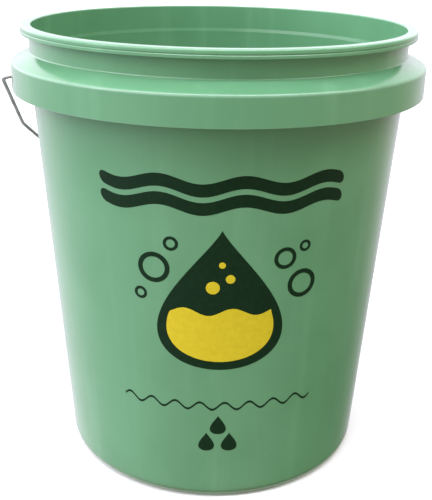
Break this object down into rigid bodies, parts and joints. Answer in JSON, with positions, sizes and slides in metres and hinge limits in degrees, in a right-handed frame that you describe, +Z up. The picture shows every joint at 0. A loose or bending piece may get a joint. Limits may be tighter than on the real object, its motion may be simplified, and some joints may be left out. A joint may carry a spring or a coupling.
{
  "type": "wash bucket",
  "caption": "Tapered green plastic wash bucket with a skirted collar, a rolled rim, and a swinging wire bail that carries a loose hand grip.",
  "frame": {"origin": "centre of the base, on the floor", "axes": "+Z up along the pail's axis; X along the bail's pivot axis through both ears; the printed side faces -Y and the bail rests against the back, +Y"},
  "size_m": [0.3482, 0.3344, 0.362],
  "materials": {
    "pail_plastic": "smooth moulded polyethylene, semi-gloss, lightly mottled",
    "bail_wire": "drawn galvanised wire, dull zinc",
    "grip_plastic": "smooth moulded polyethylene, satin",
    "dark_ink": "screen-printed ink, satin",
    "yellow_ink": "screen-printed ink, satin"
  },
  "bodies": {
    "pail": {"pail": "pail_plastic"},
    "bail": {"bail": "bail_wire"},
    "grip": {"grip": "grip_plastic"}
  },
  "joints": [
    {"name": "bail_swing", "type": "hinge", "parent": "pail", "child": "bail", "pos_m": [0, 0, 0.32], "axis": [1, 0, 0], "range_deg": [0, 249.2]},
    {"name": "grip_spin", "type": "hinge", "parent": "bail", "child": "grip", "pos_m": [0, 0.15633, 0.21201], "axis": [1, 0, 0], "continuous": true}
  ]
}
